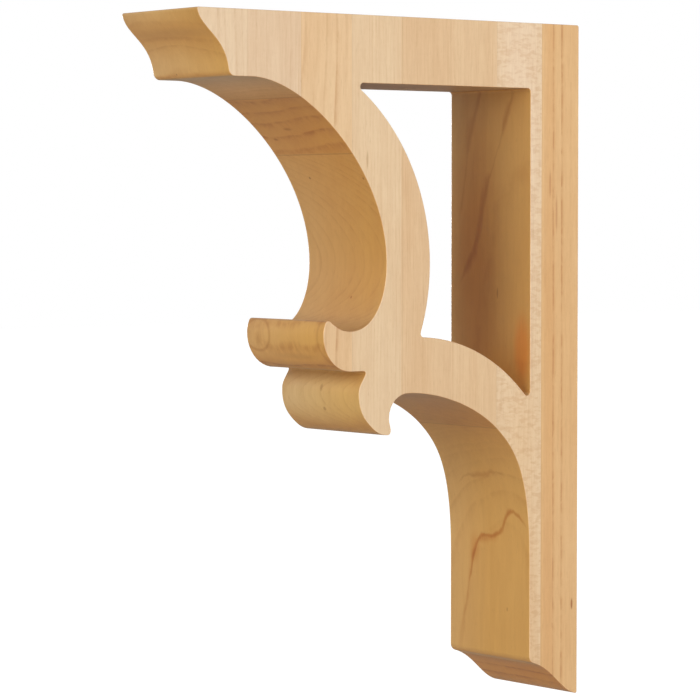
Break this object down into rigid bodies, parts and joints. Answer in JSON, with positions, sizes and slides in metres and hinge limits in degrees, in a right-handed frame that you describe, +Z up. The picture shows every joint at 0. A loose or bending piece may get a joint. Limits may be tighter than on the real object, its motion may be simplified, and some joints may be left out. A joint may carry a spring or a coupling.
{
  "type": "corbel bracket",
  "caption": "Wooden corbel bracket: a wall post and top rail joined by a C-shaped brace with scrolled ends and an arch, to carry a shelf, mantel or counter overhang.",
  "frame": {"origin": "middle of the back face, which lies on the wall in the plane Y = 0", "axes": "+Z up along the wall, +Y into the wall so that the bracket stands out towards -Y, +X across the bracket's thickness"},
  "size_m": [0.065, 0.247, 0.3556],
  "materials": {
    "maple": "satin clear lacquer"
  },
  "bodies": {
    "root": {"bracket": "maple"}
  },
  "joints": []
}
